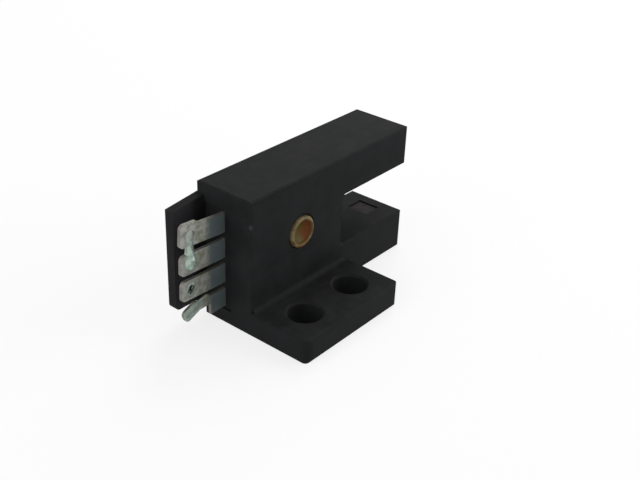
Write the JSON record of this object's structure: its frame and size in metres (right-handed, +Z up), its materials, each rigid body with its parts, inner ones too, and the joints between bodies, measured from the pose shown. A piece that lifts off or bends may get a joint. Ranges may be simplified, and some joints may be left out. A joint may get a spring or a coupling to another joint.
{
  "type": "slotted optical sensor",
  "caption": "L-shaped slotted optical sensor: black moulded case with two arms, a beam slot, a side mounting flange, flat solder terminals and an amber indicator window.",
  "frame": {"origin": "centre of the bounding box at the mounting face, with the slot's plane upright", "axes": "+X from the terminals to the arm tips, where the slot opens; -Y from the back cover to the flange; +Z up from the mounting face"},
  "size_m": [0.0277, 0.013, 0.0134],
  "materials": {
    "case_plastic": "satin moulded black",
    "cover_plastic": "satin moulded black",
    "base_plastic": "fine matt black",
    "tinned_terminal": "dull tin plate",
    "solder": "bright solder",
    "amber_resin": "glossy amber resin",
    "led_resin": "clear resin on white",
    "board": "green solder mask",
    "clear_resin": "blue-tinted clear resin",
    "dark_resin": "matt moulding compound",
    "lead_frame": "tinned lead frame",
    "filter_plastic": "glossy dark red infrared filter",
    "chip_ceramic": "glazed ceramic",
    "capacitor_ceramic": "tan ceramic"
  },
  "bodies": {
    "root": {"case": "case_plastic", "back_cover": "cover_plastic", "terminal_base": "base_plastic", "terminal_1": "tinned_terminal", "terminal_2": "tinned_terminal", "terminal_3": "tinned_terminal", "terminal_4": "tinned_terminal", "solder_bridge": "solder", "indicator_window": "amber_resin", "indicator_led": "led_resin", "circuit_board": "board", "emitter": "clear_resin", "emitter_leads": "lead_frame", "emitter_window": "filter_plastic", "receiver": "dark_resin", "receiver_leads": "lead_frame", "receiver_window": "filter_plastic", "amplifier_ic": "dark_resin", "amplifier_leads": "lead_frame", "output_transistor": "dark_resin", "protection_diode": "dark_resin", "resistor_1": "chip_ceramic", "resistor_2": "chip_ceramic", "resistor_3": "chip_ceramic", "capacitor": "capacitor_ceramic"}
  },
  "joints": []
}
